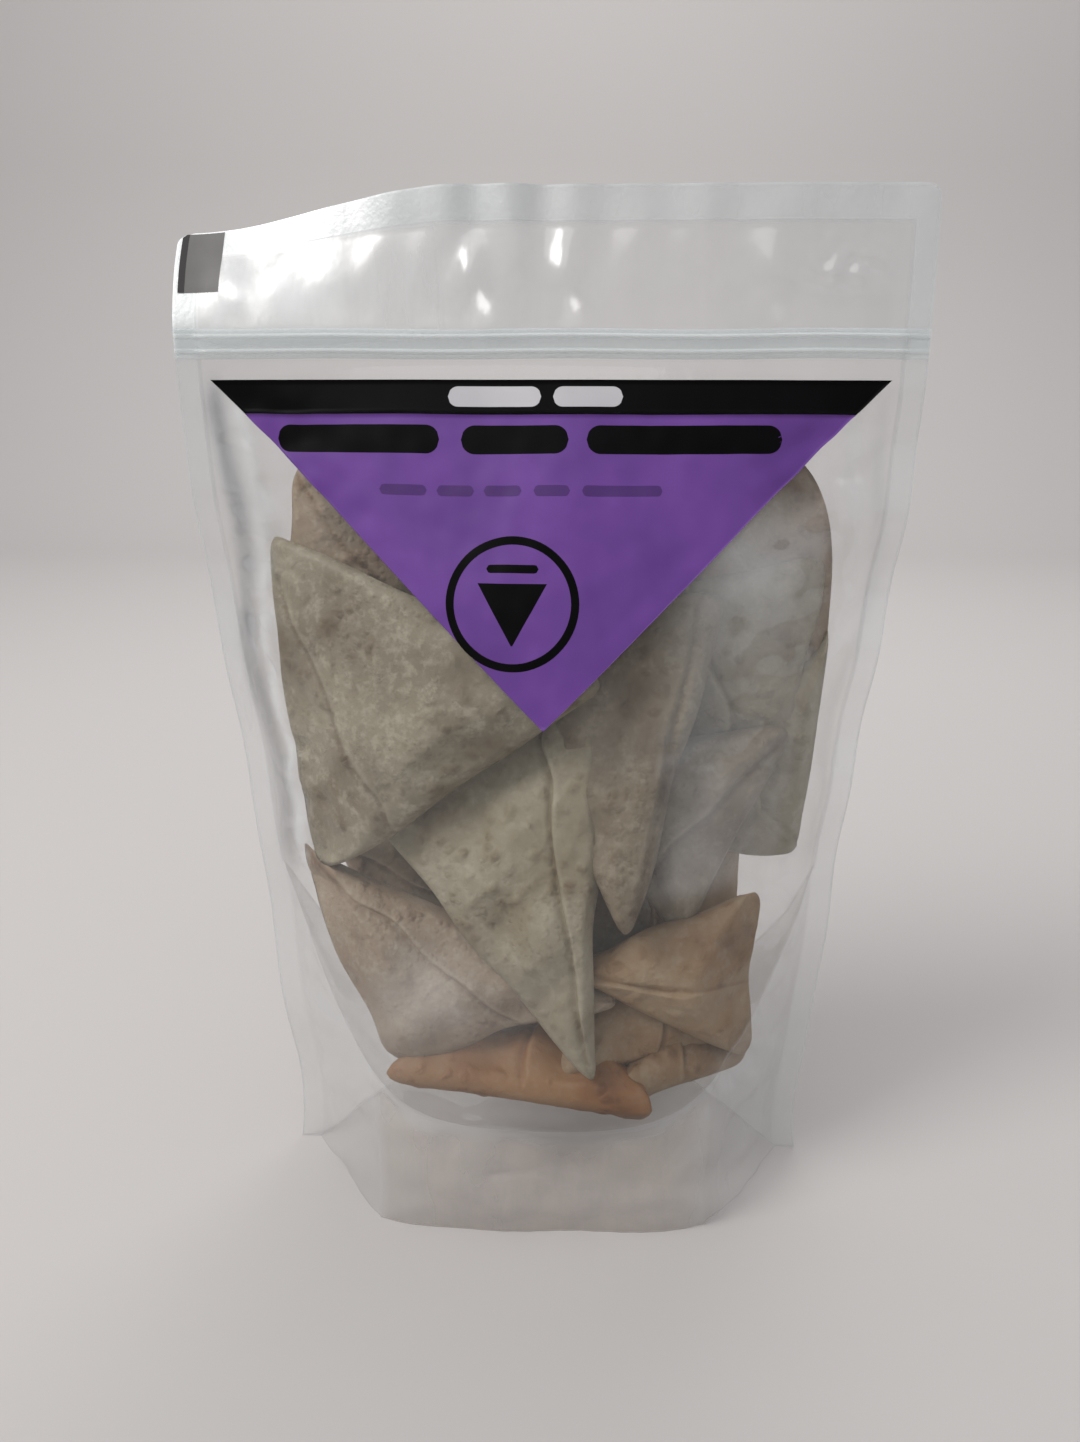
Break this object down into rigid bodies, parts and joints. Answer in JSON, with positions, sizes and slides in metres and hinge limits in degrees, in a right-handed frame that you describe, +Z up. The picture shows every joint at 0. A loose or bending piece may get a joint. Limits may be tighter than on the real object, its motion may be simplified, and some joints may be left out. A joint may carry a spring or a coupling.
{
  "type": "stand-up pouch of samosas",
  "caption": "Clear stand-up pouch with a press-to-close zip and a triangular label, sealed, with large folded triangular samosas inside; it stands on its gusseted foot.",
  "frame": {"origin": "on the floor, under the middle of the pouch", "axes": "+Z up, -Y out of the labelled front, +X to the right as seen from the front"},
  "size_m": [0.19, 0.0896, 0.272],
  "materials": {
    "clear_film": "clear glossy film over beige pastry",
    "zip_plastic": "clear extruded plastic",
    "label_paper": "satin printed label"
  },
  "bodies": {
    "root": {"pouch": "clear_film", "zip_front": "zip_plastic", "zip_back": "zip_plastic", "label": "label_paper"}
  },
  "joints": []
}
